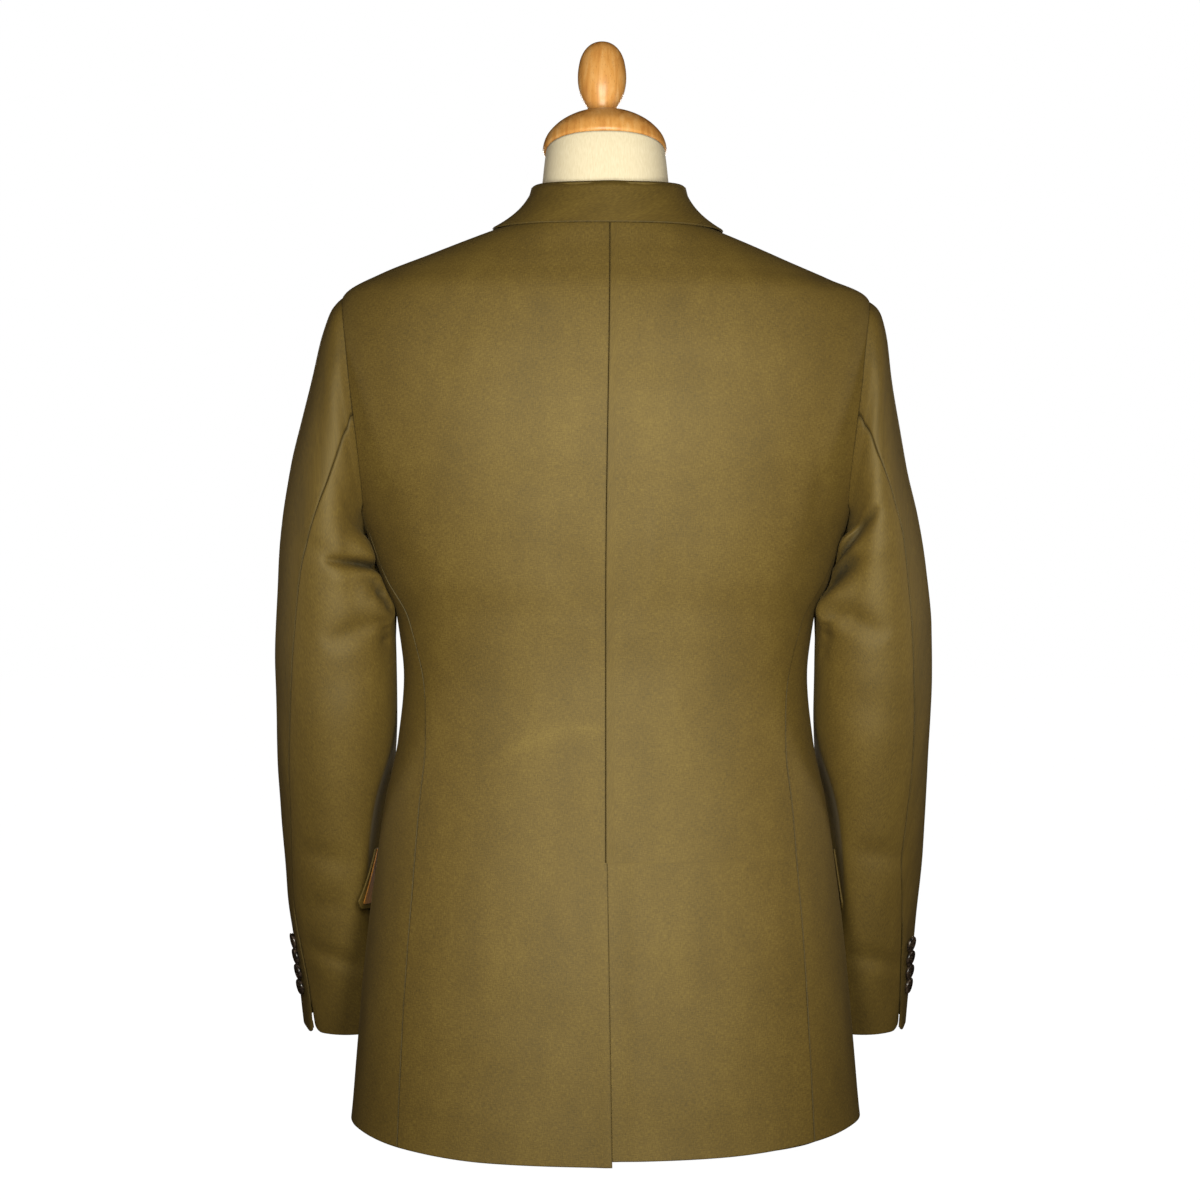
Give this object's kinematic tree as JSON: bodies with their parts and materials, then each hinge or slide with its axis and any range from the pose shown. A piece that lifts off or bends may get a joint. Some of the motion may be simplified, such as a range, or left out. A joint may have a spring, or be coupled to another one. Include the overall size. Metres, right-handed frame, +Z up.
{
  "type": "moleskin jacket on a tailor's form",
  "caption": "Single-breasted moleskin jacket with notch lapels, two-piece sleeves and a centre back vent, worn by a limbless tailor's form with a turned wooden neck cap.",
  "frame": {"origin": "centre of the tailor's form's flat underside, on the surface that it stands on", "axes": "+Z up; the jacket's back faces -Y and its front +Y; the wearer's right side is +X"},
  "size_m": [0.5775, 0.3115, 0.9769],
  "materials": {
    "moleskin": "brushed cotton moleskin, matt with a short nap",
    "satin": "golden satin lining, soft shine",
    "horn": "dark horn, polished",
    "jersey": "beige cotton jersey, matt",
    "beech": "honey-coloured varnish"
  },
  "bodies": {
    "root": {"back_left": "moleskin", "back_right": "moleskin", "side_left": "moleskin", "side_right": "moleskin", "front_left": "moleskin", "front_right": "moleskin", "lapel_left": "moleskin", "lapel_right": "moleskin", "collar": "moleskin", "top_sleeve_left": "moleskin", "top_sleeve_right": "moleskin", "under_sleeve_left": "moleskin", "under_sleeve_right": "moleskin", "flap_left": "moleskin", "flap_right": "moleskin", "flap_lining_left": "satin", "flap_lining_right": "satin", "cuff_button_left_1": "horn", "cuff_button_left_2": "horn", "cuff_button_left_3": "horn", "cuff_button_left_4": "horn", "cuff_button_right_1": "horn", "cuff_button_right_2": "horn", "cuff_button_right_3": "horn", "cuff_button_right_4": "horn", "front_button_1": "horn", "front_button_2": "horn", "form_torso": "jersey", "neck_cap": "beech", "finial": "beech"}
  },
  "joints": []
}
